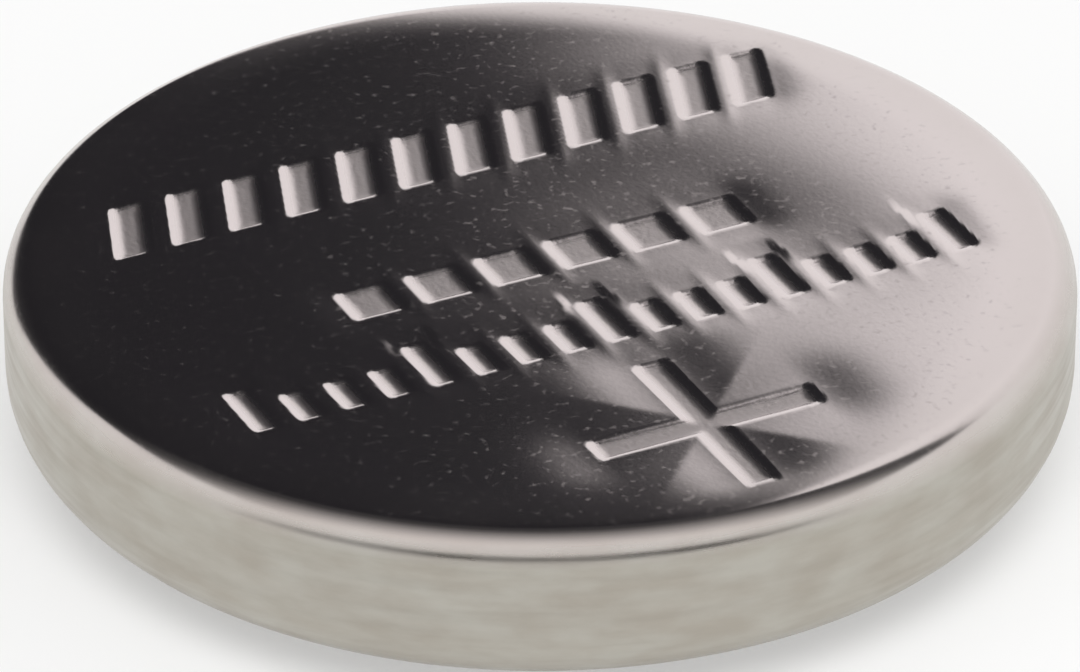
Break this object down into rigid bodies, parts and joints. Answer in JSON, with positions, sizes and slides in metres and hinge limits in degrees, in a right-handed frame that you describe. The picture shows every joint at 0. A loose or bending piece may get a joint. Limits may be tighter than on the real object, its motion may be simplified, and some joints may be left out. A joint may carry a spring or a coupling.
{
  "type": "lithium coin cell",
  "caption": "Round flat lithium coin cell with a polished positive face bearing a stamped plus sign and plain marks, a satin wall curled in over a gasket, and a stepped negative cap.",
  "frame": {"origin": "centre of the negative cap's flat contact face, on which the cell stands", "axes": "+Z along the cell's axis, up out of the positive face; +X along the stamped rows; +Y from the plus sign towards the rows"},
  "size_m": [0.0125, 0.0124, 0.0025],
  "materials": {
    "can_steel": "nickel-plated steel, polished face, satin wall and stampings",
    "cap_steel": "nickel-plated steel, satin",
    "gasket_plastic": "natural polypropylene",
    "collector_steel": "plain perforated sheet",
    "cathode_mix": "pressed black powder",
    "separator_felt": "non-woven fibre sheet",
    "lithium_metal": "soft dull silver metal"
  },
  "bodies": {
    "root": {"positive_can": "can_steel", "current_collector": "collector_steel", "cathode_pellet": "cathode_mix", "separator": "separator_felt", "lithium_anode": "lithium_metal", "gasket": "gasket_plastic", "negative_cap": "cap_steel"}
  },
  "joints": []
}
